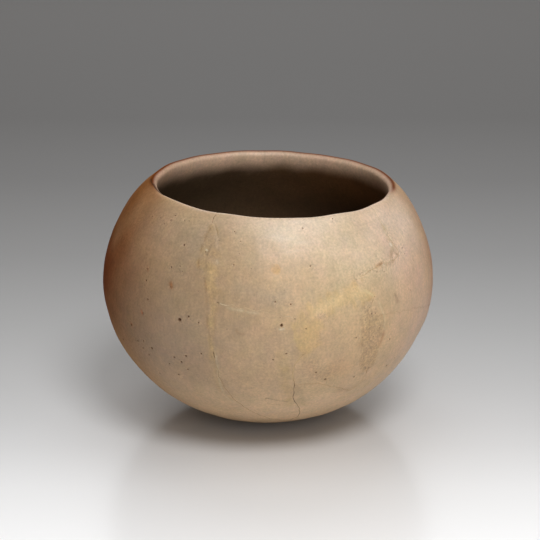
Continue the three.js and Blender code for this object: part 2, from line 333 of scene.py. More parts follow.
# Places of the marks: azimuth, rise, radius and depth in mm. They are where grit fell out, where
# the burnish flaked and where a digging tool touched. The last nine are guessed, at the back.
PITS = np.array([
    [-64.2, 0.919, 0.5, 0.35], [-65.3, 0.904, 0.4, 0.3], [-57.2, 0.94, 0.6, 0.4],
    [-51.3, 0.946, 0.5, 0.35], [-48.2, 0.935, 0.6, 0.4], [-45.9, 0.95, 0.5, 0.35],
    [-45.0, 0.966, 0.7, 0.4], [-39.4, 0.961, 0.5, 0.35], [-36.9, 0.963, 0.5, 0.3],
    [-34.5, 0.896, 0.9, 0.5], [-36.8, 0.83, 0.7, 0.4], [-33.5, 0.838, 0.6, 0.35],
    [-32.1, 0.826, 0.6, 0.35], [-47.3, 0.806, 0.7, 0.35], [-46.4, 0.776, 0.8, 0.45],
    [-35.3, 0.78, 1.0, 0.25], [-15.5, 0.955, 0.6, 0.35], [-12.3, 0.929, 0.5, 0.3],
    [-13.4, 0.864, 0.6, 0.35], [-24.9, 0.889, 0.6, 0.35], [-44.2, 0.728, 0.8, 0.4],
    [-46.2, 0.685, 0.7, 0.35], [-53.1, 0.633, 0.8, 0.4], [-30.0, 0.698, 1.5, 0.7],
    [-26.9, 0.712, 0.8, 0.45], [-23.2, 0.7, 0.8, 0.45], [-63.3, 0.558, 1.1, 0.5],
    [-50.8, 0.589, 0.7, 0.4], [-47.1, 0.599, 0.7, 0.4], [-48.5, 0.572, 0.6, 0.35],
    [-46.0, 0.556, 0.7, 0.4], [-43.3, 0.585, 0.8, 0.45], [-33.3, 0.578, 0.8, 0.45],
    [-30.6, 0.567, 0.8, 0.45], [-28.4, 0.592, 0.9, 0.5], [-22.4, 0.609, 0.7, 0.4],
    [-36.3, 0.549, 0.7, 0.4], [-33.6, 0.514, 0.8, 0.45], [-28.7, 0.544, 0.7, 0.4],
    [-44.5, 0.489, 0.7, 0.4], [0.5, 0.46, 0.7, 0.3], [14.2, 0.865, 0.6, 0.35],
    [4.2, 0.711, 1.15, 0.6], [7.0, 0.767, 0.7, 0.4], [1.9, 0.773, 0.6, 0.35],
    [12.3, 0.7, 0.7, 0.4], [30.6, 0.656, 0.7, 0.4], [68.1, 0.594, 0.8, 0.4],
    [46.1, 0.624, 0.7, 0.35], [56.2, 0.744, 0.6, 0.3], [50.9, 0.521, 0.8, 0.45],
    [54.2, 0.541, 0.7, 0.4], [6.3, 0.628, 0.7, 0.4], [2.1, 0.61, 0.6, 0.35],
    [17.5, 0.56, 0.8, 0.45], [21.6, 0.532, 1.3, 0.4], [12.6, 0.972, 0.6, 0.3],
    [34.0, 0.52, 0.6, 0.35], [43.5, 0.82, 0.8, 0.25], [40.2, 0.825, 0.7, 0.25],
    [57.0, 0.862, 0.9, 0.3], [57.5, 0.845, 0.8, 0.3], [26.9, 0.992, 0.8, 0.4],
    [-95.0, 0.62, 1.2, 0.6], [-118.0, 0.8, 0.8, 0.4], [-141.0, 0.54, 1.0, 0.5],
    [112.0, 0.7, 1.4, 0.6], [134.0, 0.86, 0.8, 0.4], [161.0, 0.58, 1.1, 0.5],
    [-168.0, 0.73, 0.9, 0.4], [95.0, 0.48, 1.0, 0.5], [-80.0, 0.42, 0.9, 0.5],
])
PIT_SHRINK = 0.85
PIT_HALO = 2.2
PIT_RAGGED = 0.35
pit_middles = to_map(PITS[:, 0], PITS[:, 1])
pit_radii = PITS[:, 2] * PIT_SHRINK * map_scale(pit_middles)

# One hairline runs from the seam to the right, where the body is cracked but not parted. The
# lip's left side has split: the line starts outside, crosses the crest and ends inside. Its
# points are [azimuth, mm below the crest].
MARK_STEPS = 8
HAIRLINE = [[38.6, 0.704], [41.7, 0.706], [47.4, 0.701], [54.3, 0.693], [61.5, 0.683],
            [75.8, 0.651], [88, 0.636]]
SPLIT_OUTSIDE = [[-92, 1.2], [-89, 0.95], [-85, 0.5], [-81, 0]]
SPLIT_INSIDE = [[-82.5, 0.1], [-78, 0.6], [-72.5, 1.0], [-68, 1.2], [-63.5, 1.2]]
SPLIT_DEPTH, SPLIT_HALF = 0.5, 0.35
HAIR_DEPTH, HAIR_HALF = 0.06, 0.2
hairline = crack_line(HAIRLINE, 33)


def mark_line(points):
    """Smooth line on the map through [azimuth, rise] points."""
    return to_map(*smooth_line(points, MARK_STEPS).T)


split_outside, split_inside = (
    mark_line([[azimuth, CREST - below / UP] for azimuth, below in line])
    for line in (SPLIT_OUTSIDE, SPLIT_INSIDE))


def map_waves(flat, seed, shortest, longest):
    """Uneven field over map points, its waves in mm on the bowl."""
    return waves(flat / map_scale(flat)[:, None], seed, shortest, longest)


def pit_depth(flat):
    """Depth of the pits in mm: each pit's own depth by the square of one less its squared distance
    from the pit's middle, in radii that waves make ragged."""
    depth = np.zeros(len(flat))
    ragged = 1 + PIT_RAGGED * np.clip(map_waves(flat, 12, 1.2, 3.5), -1.2, 2)
    for middle, radius, deep in zip(pit_middles, pit_radii, PITS[:, 3]):
        off = ((flat - middle) ** 2).sum(-1) / radius ** 2 * ragged
        depth = np.maximum(depth, deep * PIT_SHRINK * np.clip(1 - off, 0, 1) ** 2)
    return depth


def pit_halo(flat):
    """How near any pit each map point is, 0 to 1: a bell curve of its distance."""
    halo = np.zeros(len(flat))
    for middle, scale in zip(pit_middles, map_scale(pit_middles)):
        halo = np.maximum(halo, np.exp(-((flat - middle) ** 2).sum(-1) / (PIT_HALO * scale) ** 2))
    return halo


def near(flat, line, half_width):
    """How near a line each map point is, 0 to 1: a bell curve of its distance."""
    return np.exp(-(gap_to(flat, line) / half_width) ** 2)


RUB_DEPTH, SWELL, FACET = 0.3, 0.14, 0.045
LIP_BLEND = 4.0


def hand_marks(azimuth, rise):
    """Unevenness of the rubbed outside, in mm inwards: long swells and short facets, which fade out
    over the last 4 mm below the crest of the lip."""
    places = wall_place(azimuth, rise, 0)
    marks = RUB_DEPTH + SWELL * waves(places, 3, 26, 64) + FACET * waves(places, 5, 8, 16)
    return marks * ease(below_lip(rise) / LIP_BLEND)


# Most of the cracks were rubbed shut with plaster. A few stretches stayed open: line, how far
# along it the open stretch starts and ends, and how open it is.
OPEN_STRETCHES = [(left_low, 0.0, 0.3, 0.25), (left_low, 0.45, 1.0, 0.1),
                  (centre_low, 0.0, 0.75, 0.45), (centre_top, 0.4, 1.0, 0.25),
                  (right_top, 0.0, 0.3, 0.6), (left_top, 0.0, 0.4, 0.3)]
OPEN_HALF = 1.2


def openness(flat):
    """How open the crack by each map point is: the open stretches' own values, by a bell curve of
    the distance to them, broken up by slow waves."""
    most = np.zeros(len(flat))
    for line, start, end, value in OPEN_STRETCHES:
        stretch = line[int(start * (len(line) - 1)):int(end * (len(line) - 1)) + 1]
        most = np.maximum(most, value * near(flat, stretch, OPEN_HALF))
    return most * ease(0.75 + 0.6 * map_waves(flat, 9, 5, 18))


WORN_SHUT, WORN_OPEN, WORN_WIDTH = 0.006, 0.13, 0.3


def sherd_top(flat, edge):
    """Depth of a sherd's outside: hand marks, pits, the hairline, the split in the lip, and an
    edge that is worn, more where the crack is open."""
    azimuth, rise = from_map(flat)
    worn = WORN_SHUT + WORN_OPEN * openness(flat)
    worn *= np.exp(-gap_to(flat, closed(edge)) / WORN_WIDTH)
    fine = pit_depth(flat) + HAIR_DEPTH * near(flat, hairline, HAIR_HALF) + worn
    split = SPLIT_DEPTH * near(flat, split_outside, SPLIT_HALF)
    below = below_lip(rise)
    return hand_marks(azimuth, rise) + fine * ease(below / 2) + split * ease(below / 0.4)


INSIDE_SWELL = 0.12
INSIDE_BLEND = 9.0


def wall_bottom(flat):
    """Depth of the inside: the whole wall, less a slight unevenness that fades at the lip, and
    less the split near its line."""
    azimuth, rise = from_map(flat)
    places = wall_place(azimuth, rise, math.inf)
    uneven = INSIDE_SWELL + INSIDE_SWELL * waves(places, 7, 18, 50)
    below = below_lip(rise)
    split = SPLIT_DEPTH * near(flat, split_inside, SPLIT_HALF) * ease(below / 0.3)
    whole = np.hypot(*wall_way(rise)[1].T)
    return whole - np.clip(uneven, 0, 1) * ease(below / INSIDE_BLEND) - split


def fill_outline(points, steps=6):
    """Closed smooth outline on the map through [azimuth, rise] points."""
    points = np.array(points, float)
    line = smooth_line(np.vstack([points[-2:], points, points[:3]]), steps)
    return to_map(*line[2 * steps:-3 * steps].T)


# Where the pot was chipped, plaster lies in shallow hollows over the cracks. Each hollow is one
# joint wider and deeper than the outline of its fill.
LEFT_FILL = fill_outline([
    [-25.5, 0.972], [-27.2, 0.935], [-26.8, 0.885], [-25.9, 0.842], [-22.4, 0.812],
    [-20.6, 0.765], [-19.7, 0.69], [-18.6, 0.6], [-17.4, 0.69], [-17.8, 0.79],
    [-18.9, 0.865], [-21.6, 0.93]])
RIGHT_FILL = fill_outline([
    [36, 0.744], [33, 0.735], [32.5, 0.67], [33.6, 0.61], [34.6, 0.565], [37.6, 0.533],
    [41.4, 0.545], [41.2, 0.6], [41.6, 0.665], [39, 0.715]])


def ring(count, start=0.0):
    """Points evenly round a circle of radius 1: cosine and sine of equal turns from a start."""
    turn = np.linspace(0, 2 * math.pi, count, endpoint=False) + start
    return np.stack([np.cos(turn), np.sin(turn)], -1)


SPOT_MIDDLE, SPOT_RADIUS, SPOT_SIDES = [1.6, 0.861], 2.1, 28
spot_middle = to_map(*np.array([SPOT_MIDDLE]).T)
SPOT_FILL = spot_middle + SPOT_RADIUS * map_scale(spot_middle) * ring(SPOT_SIDES)
LEFT_FILL_DEPTH, RIGHT_FILL_DEPTH, SPOT_FILL_DEPTH = 2.5, 2.0, 1.8
pockets = [(move_left(outline, -JOINT), depth + JOINT) for outline, depth in (
    (LEFT_FILL, LEFT_FILL_DEPTH), (RIGHT_FILL, RIGHT_FILL_DEPTH), (SPOT_FILL, SPOT_FILL_DEPTH))]

# Thin smears of plaster, glue and dirt that the mending left on the outside: a line of [azimuth,
# rise] points, half-width in mm, colour and strength. Three of them crumbled.
RIM_CRUMBS = [[40.7, 0.841], [44.2, 0.838], [49.6, 0.84]]
PATCH_CRUMBS = [[16.5, 0.735], [18.2, 0.729]]
BELLY_CRUMBS = [[15.5, 0.585], [18.4, 0.554], [22.5, 0.545]]
SMEARS = [
    ([[-21.4, 0.85], [-20.2, 0.81], [-18.9, 0.76]], 2.7, "#C5A470", 0.25),
    ([[-18.7, 0.745], [-18.6, 0.69], [-17.6, 0.61]], 1.2, "#B89C6B", 0.3),
    ([[-26.0, 0.955], [-26.9, 0.9], [-26.2, 0.85], [-23.0, 0.82], [-21.0, 0.76],
      [-20.0, 0.69]], 0.45, "#8F6F49", 0.4),
    ([[-23.4, 0.91], [-23.9, 0.874], [-23.0, 0.85]], 0.4, "#725A3F", 0.4),
    ([[-18.9, 0.63], [-18.2, 0.58], [-17.6, 0.53], [-16.8, 0.48], [-14, 0.445]],
     1.6, "#B29365", 0.35),
    ([[-17.0, 0.61], [-16.8, 0.55], [-16.6, 0.5], [-15.2, 0.455], [-11.2, 0.42]],
     0.5, "#C5B28F", 0.35),
    ([[50.4, 0.923], [52.1, 0.895]], 0.38, "#F0E7CD", 1.0),
    ([[50.2, 0.935], [51.8, 0.89], [50.9, 0.868]], 1.9, "#B6A37E", 0.4),
    (RIM_CRUMBS, 1.1, "#A58161", 0.35),
    ([[4.6, 0.62], [6.2, 0.58], [7.6, 0.52], [10.0, 0.43]], 2.6, "#AE915C", 0.4),
    ([[12.4, 0.5], [14.6, 0.45], [17, 0.42]], 1.8, "#9F855E", 0.3),
    ([[40.6, 0.705], [42.3, 0.665], [41.6, 0.61]], 0.7, "#A37347", 0.4),
    ([[28.8, 0.478], [34.0, 0.468], [39.7, 0.485]], 1.8, "#A27D52", 0.3),
    ([[31.0, 0.795], [34.6, 0.78], [37.2, 0.764]], 0.6, "#DCC897", 0.5),
    ([[39.4, 0.745], [41.6, 0.7], [42.4, 0.66]], 0.5, "#D3BE97", 0.4),
    ([[47.3, 0.75], [48.4, 0.73]], 1.0, "#8F6E52", 0.45),
    ([[50.2, 0.862], [47.6, 0.848]], 1.3, "#8F7050", 0.5),
    ([[43.0, 0.844], [40.2, 0.838]], 1.0, "#A07649", 0.4),
    ([[-13.5, 0.752], [-11.2, 0.748], [-8.6, 0.747]], 0.7, "#CCBB9A", 0.35),
    ([[-6.8, 0.744], [-3.4, 0.742]], 0.6, "#CCBB9A", 0.3),
    (PATCH_CRUMBS, 1.7, "#A38976", 0.4),
    (BELLY_CRUMBS, 4.2, "#A2815A", 0.35),
    ([[24.5, 0.57], [28.0, 0.565]], 5.0, "#B18761", 0.3),
    ([[-10.2, 0.694], [-9.6, 0.684], [-8.0, 0.684]], 0.7, "#94724E", 0.5),
    ([[13.0, 0.69], [13.6, 0.655], [12.0, 0.62]], 3.6, "#C3A16B", 0.3),
    ([[15.5, 0.748], [22.0, 0.765], [28.5, 0.785], [33.5, 0.775]], 3.0, "#D4B988", 0.45),
    ([[-19.9, 0.87], [-19.2, 0.864]], 0.5, "#DDD0B0", 0.6),
    ([[-24.9, 0.895], [-24.5, 0.893]], 0.4, "#D8CDB4", 0.5),
    ([[50.6, 0.886], [50.9, 0.882]], 0.45, "#E3D8C0", 0.7),
    ([[52.0, 0.858], [52.5, 0.853]], 0.7, "#7E5E3B", 0.6),
    ([[43.6, 0.838], [44.0, 0.838]], 0.45, "#E3D8C3", 0.6),
    ([[4.0, 0.7], [5.0, 0.702]], 0.4, "#E3DBC5", 0.6),
    ([[-35.4, 0.788], [-34.8, 0.778]], 1.0, "#98673D", 0.6),
    ([[-46.9, 0.69], [-46.6, 0.684]], 0.7, "#A55A2C", 0.6),
    ([[-53.0, 0.637], [-52.7, 0.631]], 0.6, "#914D23", 0.6),
    ([[-47.3, 0.811], [-46.9, 0.805]], 0.7, "#925532", 0.5),
    ([[0.8, 0.461], [5.0, 0.449], [9.0, 0.441]], 0.35, "#8B7054", 0.5),
    ([[1.0, 0.431], [6.5, 0.425]], 0.3, "#8B7054", 0.45),
    ([[-10.6, 0.806], [-3.2, 0.786], [3.4, 0.788]], 4.5, "#9F8F77", 0.3),
]
smear_lines = [mark_line(points) for points, *_ in SMEARS]
FINE_SMEAR = 1

# Crumbled plaster took up dirt: line, half-width in mm and strength.
CLEAN_POINTS = 20
CRUMBLED = [(mark_line(BELLY_CRUMBS), 5, 0.7), (mark_line(PATCH_CRUMBS), 2.4, 0.6),
            (mark_line(RIM_CRUMBS), 3, 0.8), (right_top[CLEAN_POINTS:], 2.6, 0.8)]

# The nets that the pieces are cut from are fine for some degrees to each side of the front, and
# run in level rows along the lip.
FINE_FRONT = 100
LIP_COLUMNS = 480
LIP_TURN = 0.3
LIP_ROW_GAP = 0.45
OUTER_LIP_ROWS = 13
INNER_LIP_ROWS = 34
GOLDEN_ANGLE = 137.50776
lip_azimuths = np.linspace(-180, 180, LIP_COLUMNS, endpoint=False) + LIP_TURN
crest_loop = to_map(lip_azimuths, np.full(LIP_COLUMNS, CREST))
ring_area = 2 * math.pi * (outside[1:, 0] + outside[:-1, 0]) / 2 * np.diff(outside_run)
area_below = np.concatenate([[0], np.cumsum(ring_area)])


def seeds(spacing, lip_rows, back_share):
    """Map points that fill the outside: a sunflower pattern, each point one golden angle on and
    one equal area up from the last, thinned at the back, and level rows below the crest."""
    k = np.arange(int(area_below[-1] / spacing ** 2))
    rise = np.interp((k + 0.5) * spacing ** 2, area_below, outside_rise)
    azimuth = k * GOLDEN_ANGLE % 360 - 180
    top = CREST - (lip_rows + 0.8) * LIP_ROW_GAP / UP
    keep = (rise < top) & ((np.abs(azimuth) < FINE_FRONT) | (k % back_share == 0))
    rows = CREST - np.arange(1, lip_rows + 1) * LIP_ROW_GAP / UP
    row_rise, row_azimuth = (grid.ravel() for grid in np.meshgrid(rows, lip_azimuths))
    return np.vstack([to_map(azimuth[keep], rise[keep]), to_map(row_azimuth, row_rise)])


def line_seeds(line, half_width, step):
    """Map points along a line, a step in mm apart, on it and at two distances to each side."""
    passed = run_along(line, map_scale(line[1:]))
    at = np.linspace(0, passed[-1], max(2, int(passed[-1] / step)))
    middle = np.stack([np.interp(at, passed, line[:, k]) for k in (0, 1)], -1)
    side = to_left(middle) * map_scale(middle)[:, None] * half_width
    return np.vstack([middle + side * share for share in (-1.6, -0.8, 0, 0.8, 1.6)])


# Each pit is cut up by its middle and four rings of points: radius, as a share of the pit's own,
# and number of points.
PIT_RINGS = [(0.35, 6), (0.68, 10), (1, 12), (1.4, 12)]
pit_net = np.vstack([[[0.0, 0.0]]] + [share * ring(count, share) for share, count in PIT_RINGS])
pit_seeds = (pit_middles[:, None] + pit_net * pit_radii[:, None, None]).reshape(-1, 2)
fine_seeds = np.vstack(
    [pit_seeds, line_seeds(hairline, 0.25, 0.5), line_seeds(split_outside, 0.3, 0.3)]
    + [line_seeds(line, half_width, 0.5) for line, (_, half_width, *_) in zip(smear_lines, SMEARS)
       if half_width < FINE_SMEAR])
SAME_POINT = 1e-7


def triangles_over(points, edges):
    """Even triangles between map points that keep the given edges, all turned the same way."""
    rows = [Vector(point) for point in points.tolist()]
    flat, _, faces, *_ = delaunay_2d_cdt(rows, edges.tolist(), [], 0, SAME_POINT, False)
    flat, faces = np.array([point[:] for point in flat]), np.array(faces)
    a, b, c = (flat[faces[:, k]] for k in range(3))
    clockwise = (b[:, 0] - a[:, 0]) * (c[:, 1] - a[:, 1]) < (b[:, 1] - a[:, 1]) * (c[:, 0] - a[:, 0])
    faces[clockwise] = faces[clockwise][:, ::-1]
    return flat, faces


def loop_edges(loops):
    """Edges round each of several loops, numbered through all of their points."""
    edges, start = [], 0
    for loop in loops:
        own = np.arange(len(loop)) + start
        edges.append(np.stack([own, np.roll(own, -1)], -1))
        start += len(loop)
    return np.vstack(edges)


WORN_ROWS = (0.25, 0.6, -0.25, -0.6)
PIT_ROOM = 1.6
EDGE_ROOM, FINE_ROOM, POCKET_ROOM, INNER_ROOM = 0.8, 0.2, 0.25, 0.5
INNER_SPACING = 2.6


def fill_points(edge, keeps, spacing, pockets):
    """Map points in a piece: the even pattern, thinned out round the pits and along the edges, and
    finer points in the pits, along the lines and in rows beside the worn edge."""
    even = seeds(spacing, OUTER_LIP_ROWS, 3)
    even = even[keeps(even)]
    for middle, radius in zip(pit_middles, pit_radii):
        even = even[((even - middle) ** 2).sum(-1) > (PIT_ROOM * radius) ** 2]
    even = even[gap_to(even, closed(edge)) > np.minimum(EDGE_ROOM, 0.7 * spacing)]
    fine = np.vstack([move_left(edge, side) for side in WORN_ROWS] + [fine_seeds])
    fine = fine[keeps(fine)]
    fill = np.vstack([even, fine[gap_to(fine, closed(edge)) > FINE_ROOM]])
    for pocket, _ in pockets:
        fill = fill[gap_to(fill, closed(pocket)) > POCKET_ROOM]
    return fill


def walls_down(faces, floor, lowest, count):
    """Walls under each edge whose other side is left out or lies on a deeper floor, level by level,
    and the edges of the piece's rim. Each level has its own count of points."""
    edges = np.vstack([faces[:, [0, 1]], faces[:, [1, 2]], faces[:, [2, 0]]])
    edge_floor = np.tile(floor, 3)
    number, other = edges[:, 0] * count + edges[:, 1], edges[:, 1] * count + edges[:, 0]
    order = np.argsort(number)
    match = order[np.minimum(np.searchsorted(number[order], other), len(order) - 1)]
    met = number[match] == other
    stop = np.where(met, edge_floor[match], lowest)
    walls = []
    for step in range(lowest):
        i, j = edges[(edge_floor <= step) & (stop > step)].T + step * count
        walls += [np.stack([j, i, i + count], -1), np.stack([j, i + count, j + count], -1)]
    return walls, edges[~met]


def welded(faces, places, **marks):
    """Shape whose corners at one place are one point, without the faces that this closes up."""
    used, faces = np.unique(faces, return_inverse=True)
    _, first, joined = np.unique(
        np.round(places[used], 5), axis=0, return_index=True, return_inverse=True
    )
    faces = joined.reshape(-1)[faces.reshape(-1, 3)]
    a, b, c = faces.T
    shape = {"places": places, **marks}
    shape = {label: values[used[first]] for label, values in shape.items()}
    return {"faces": faces[(a != b) & (b != c) & (c != a)], **shape}


def cut_piece(edge, keeps, top, bottom, spacing, pockets=()):
    """Closed piece of the wall between two depths. The map is filled with triangles, the ones that
    the piece keeps are laid at the top's depth or on the floor of the pocket they are in, a
    coarser net from the same rim is laid at the bottom's depth, and walls join them."""
    loops = [edge, crest_loop] + [pocket for pocket, _ in pockets]
    fill = fill_points(edge, keeps, spacing, pockets)
    flat, faces = triangles_over(np.vstack(loops + [fill]), loop_edges(loops))
    faces = faces[keeps(flat[faces].mean(1))]
    depths = sorted({depth for _, depth in pockets})
    floor = np.zeros(len(faces), int)
    for pocket, depth in pockets:
        floor[is_within(flat[faces].mean(1), pocket)] = depths.index(depth) + 1
    count = len(flat)
    walls, rim = walls_down(faces, floor, len(depths) + 1, count)
    azimuth, rise = from_map(flat)
    places = [wall_place(azimuth, rise, depth) for depth in (top(flat), *depths, bottom(flat))]

    rim_points, rim_edges = np.unique(rim, return_inverse=True)
    inner = np.vstack([seeds(INNER_SPACING, INNER_LIP_ROWS, 2), line_seeds(split_inside, 0.3, 0.3)])
    inner = inner[keeps(inner)]
    inner = inner[gap_to(inner, closed(edge)) > INNER_ROOM]
    inner_flat, inner_faces = triangles_over(
        np.vstack([flat[rim_points], inner]), rim_edges.reshape(-1, 2)
    )
    inner_faces = inner_faces[keeps(inner_flat[inner_faces].mean(1))]
    inner_azimuth, inner_rise = from_map(inner_flat)
    inner_places = wall_place(inner_azimuth, inner_rise, bottom(inner_flat))

    faces = [faces + (floor * count)[:, None], *walls, inner_faces[:, ::-1] + len(places) * count]
    azimuth = np.concatenate([np.tile(azimuth, len(places)), inner_azimuth])
    rise = np.concatenate([np.tile(rise, len(places)), inner_rise])
    deep = np.arange(len(rise)) >= count
    places = np.vstack([*places, inner_places])
    return welded(np.vstack(faces), places, azimuth=azimuth, rise=rise, deep=deep)


def linear(code):
    """Linear red, green and blue of an sRGB hex code."""
    shares = np.array([int(code[k:k + 2], 16) / 255 for k in (1, 3, 5)])
    return np.where(shares <= 0.04045, shares / 12.92, ((shares + 0.055) / 1.055) ** 2.4)


# Firing colours and painted light. The buff clay turned grey and brown where smoke lay on it and
# pinker where air reached it. Some clouds also paint light and shade: the brown ones at azimuths
# -94,
# -84, -80, -78 and -50 are partly firing colour and partly painted shade of the unlit left flank;
# the one at -28 is painted shade on the front left; the one at -74 and the wide low one at 10 are
# painted light thrown up from the floor; the low one at 0 is painted shade near the foot; the cream
# one at 12 is a painted highlight; the one at 40 and the wide one at 58, rise 0.93, are painted
# light and sheen on the right shoulder; the one at 68 is partly pink firing colour and partly
# painted light. The orange one at 88 darkens the right edge. For each cloud: azimuth, rise,
# half-width in degrees, half-height, colour and strength.
BUFF = "#C09F76"
CLOUD_DRIFT = 0.16
FIRING_AND_LIGHT_CLOUDS = [
    (-78, 0.72, 36, 0.27, "#733412", 1.0), (-94, 0.98, 28, 0.16, "#8A5223", 0.8),
    (-80, 0.42, 34, 0.16, "#A06B3D", 0.5), (-50, 0.64, 20, 0.15, "#7E5A3C", 0.6),
    (-33, 0.93, 20, 0.09, "#A2927E", 0.5), (-31, 0.76, 11, 0.14, "#9E8F78", 0.45),
    (-42, 0.6, 16, 0.13, "#A38569", 0.4), (-12, 0.77, 12, 0.1, "#B2987B", 0.3),
    (12, 0.95, 18, 0.06, "#D0BAA1", 0.5), (40, 0.87, 27, 0.12, "#CFB996", 0.8),
    (58, 0.83, 12, 0.13, "#D0A993", 0.45), (68, 0.64, 16, 0.24, "#D8B499", 0.65),
    (27, 0.78, 14, 0.07, "#C7AD84", 0.35), (2, 0.62, 20, 0.09, "#B1977A", 0.35),
    (-28, 0.62, 32, 0.28, "#94795B", 0.5), (16, 0.42, 30, 0.14, "#C1A581", 0.35),
    (150, 0.72, 34, 0.2, "#86725F", 0.55), (-150, 0.46, 38, 0.2, "#A28463", 0.45),
    (108, 0.5, 26, 0.16, "#AC9178", 0.4), (178, 0.95, 30, 0.08, "#786350", 0.45),
    (88, 0.75, 13, 0.3, "#AE6F45", 0.6), (10, 0.35, 75, 0.12, "#D8B791", 0.75),
    (0, 0.18, 95, 0.07, "#9F794A", 0.5), (14, 1.0, 26, 0.045, "#DCCAB2", 0.55),
    (58, 0.93, 26, 0.1, "#DEC5B0", 0.75), (-84, 0.9, 15, 0.1, "#6E3F16", 0.4),
    (-74, 0.5, 15, 0.08, "#A98563", 0.5),
]
# The inside buff is lighter than the outside's: partly the clay's own colour, partly painted light
# on the inner wall.
INSIDE_BUFF_AND_LIGHT = "#D9B79A"
# The dark colours inside are partly smoke blackening and partly painted shade inside the bowl. The
# warm one, at the back right, is partly a warmer blackening and partly painted light; the deep one
# darkens it further down.
SOOT_AND_SHADE = "#5F4C36"
WARM_SOOT_AND_LIGHT = "#8E6138"
DEEP_SOOT_AND_SHADE = "#3C2C1D"
SOOT_SHADE_START, SOOT_SHADE_FADE = 7.0, 10.0
DEEP_SHADE_START, DEEP_SHADE_FADE = 20.0, 24.0
WARM_MIDDLE, WARM_HALF = 130, 45
# A lighter band along the front of the lip's crest: partly rubbed wear, partly a painted highlight
# where the crest catches the light.
LIP_RUB_AND_HIGHLIGHT, RUB_HIGHLIGHT_BAND, RUB_HIGHLIGHT_SHARE = "#BE9E7C", 1.4, 0.35
# A dark orange band along the crest at the back of the lip.
LIP_BACK_ORANGE, BACK_ORANGE_BAND = "#66320F", 1.6
BACK_START, BACK_FADE = 62, 26
FLANK_MIDDLE, FLANK_HALF, FLANK_FADE = -90, 58, 36
MARKED_FRONT = 95
SPLIT_MIDDLE, SPLIT_SPAN = -74, 12
# Colour of the dirt in the pores, and of the dirt and painted shade in the pits, the hairline and
# the split.
GRIME_AND_SHADE = "#4A3020"

# Plaster was toned with earth colours and brushed thin over the clay beside it: the outline that
# it lies in, its colour, its strength and the width in mm over which it fades out.
TONED = [(patch_loop, "#C5A470", 0.55, 3.6), (LEFT_FILL, "#AB8A5C", 0.38, 2.6),
         (RIGHT_FILL, "#A2805A", 0.3, 3.6), (SPOT_FILL, "#BF9A68", 0.6, 1.2)]


def rim_gap(flat, loop):
    """Distance in mm from map points in to a loop's edge, below nothing for the ones outside."""
    gap = gap_to(flat, closed(loop))
    return np.where(is_within(flat, loop), gap, -gap)


def mixed(colour, share, code):
    """Colours mixed with one hex colour by each vertex's share."""
    share = np.clip(share, 0, 1)[:, None]
    return colour * (1 - share) + linear(code) * share


def turned_from(middle, azimuth):
    """Degrees from a middle azimuth round to others, from -180 to 180."""
    return (azimuth - middle + 180) % 360 - 180


def clay_with_painted_light(azimuth, rise, places, outer):
    """Colour of the clay: the buff, or the lighter inside buff, mixed with each cloud by a bell
    curve that slow waves make uneven, and inside the bowl with a quarter of it. The clouds hold
    firing colours and also painted light and shade."""
    colour = mixed(linear(BUFF), 1.0 * ~outer, INSIDE_BUFF_AND_LIGHT)
    drift = CLOUD_DRIFT * waves(places, 41, 16, 44)
    for at_azimuth, at_rise, half_width, half_height, code, strength in FIRING_AND_LIGHT_CLOUDS:
        off = turned_from(at_azimuth, azimuth)
        share = strength * np.exp(-(off / half_width) ** 2 - ((rise - at_rise) / half_height) ** 2)
        share = 1 - (1 - share) ** (1 + drift)
        colour = mixed(colour, share * np.where(outer, 1, 0.25), code)
    return colour


def mended(colour, flat, uneven):
    """Colour mixed with the toned plaster inside its outlines and with the smears near their lines,
    both patchy where an uneven field is high or low."""
    for loop, code, strength, fade in TONED:
        share = strength * ease(0.5 + (rim_gap(flat, loop) + 0.35 * fade * uneven) / fade)
        colour = mixed(colour, share * (1 + 0.15 * uneven), code)
    for line, (_, half_width, code, strength) in zip(smear_lines, SMEARS):
        patchy = 1 + 0.35 * uneven * (half_width < 3)
        colour = mixed(colour, strength * near(flat, line, half_width) * patchy, code)
    return colour


def soot_and_shade_inside(azimuth, places, below):
    """Share and colour of the smoke blackening and painted shade inside: it starts about 7 mm below
    the crest and thickens over 10 mm, earlier and warmer at the back right, where its lighter colour
    is partly painted light, and is darker further down."""
    warm = np.exp(-(turned_from(WARM_MIDDLE, azimuth) / WARM_HALF) ** 2)
    start = SOOT_SHADE_START - 2.4 * warm + 0.6 * waves(places, 43, 14, 50)
    colour = mixed(linear(SOOT_AND_SHADE), 0.8 * warm, WARM_SOOT_AND_LIGHT)
    deep = ease((below - DEEP_SHADE_START) / DEEP_SHADE_FADE) * (0.35 + 0.65 * warm)
    return ease((below - start) / SOOT_SHADE_FADE), mixed(colour, deep, DEEP_SOOT_AND_SHADE)


def crumbling(flat):
    """Where dirt is held in crumbled plaster, 0 to 1: most in the right fill, less in the left one,
    along the crumbled lines and round the pits."""
    fills = [strength * ease(0.5 + rim_gap(flat, loop) / 2)
             for loop, strength in ((RIGHT_FILL, 1), (LEFT_FILL, 0.4))]
    lines = [strength * near(flat, line, half_width) for line, half_width, strength in CRUMBLED]
    return np.maximum.reduce([*fills, *lines, 0.8 * pit_halo(flat)])


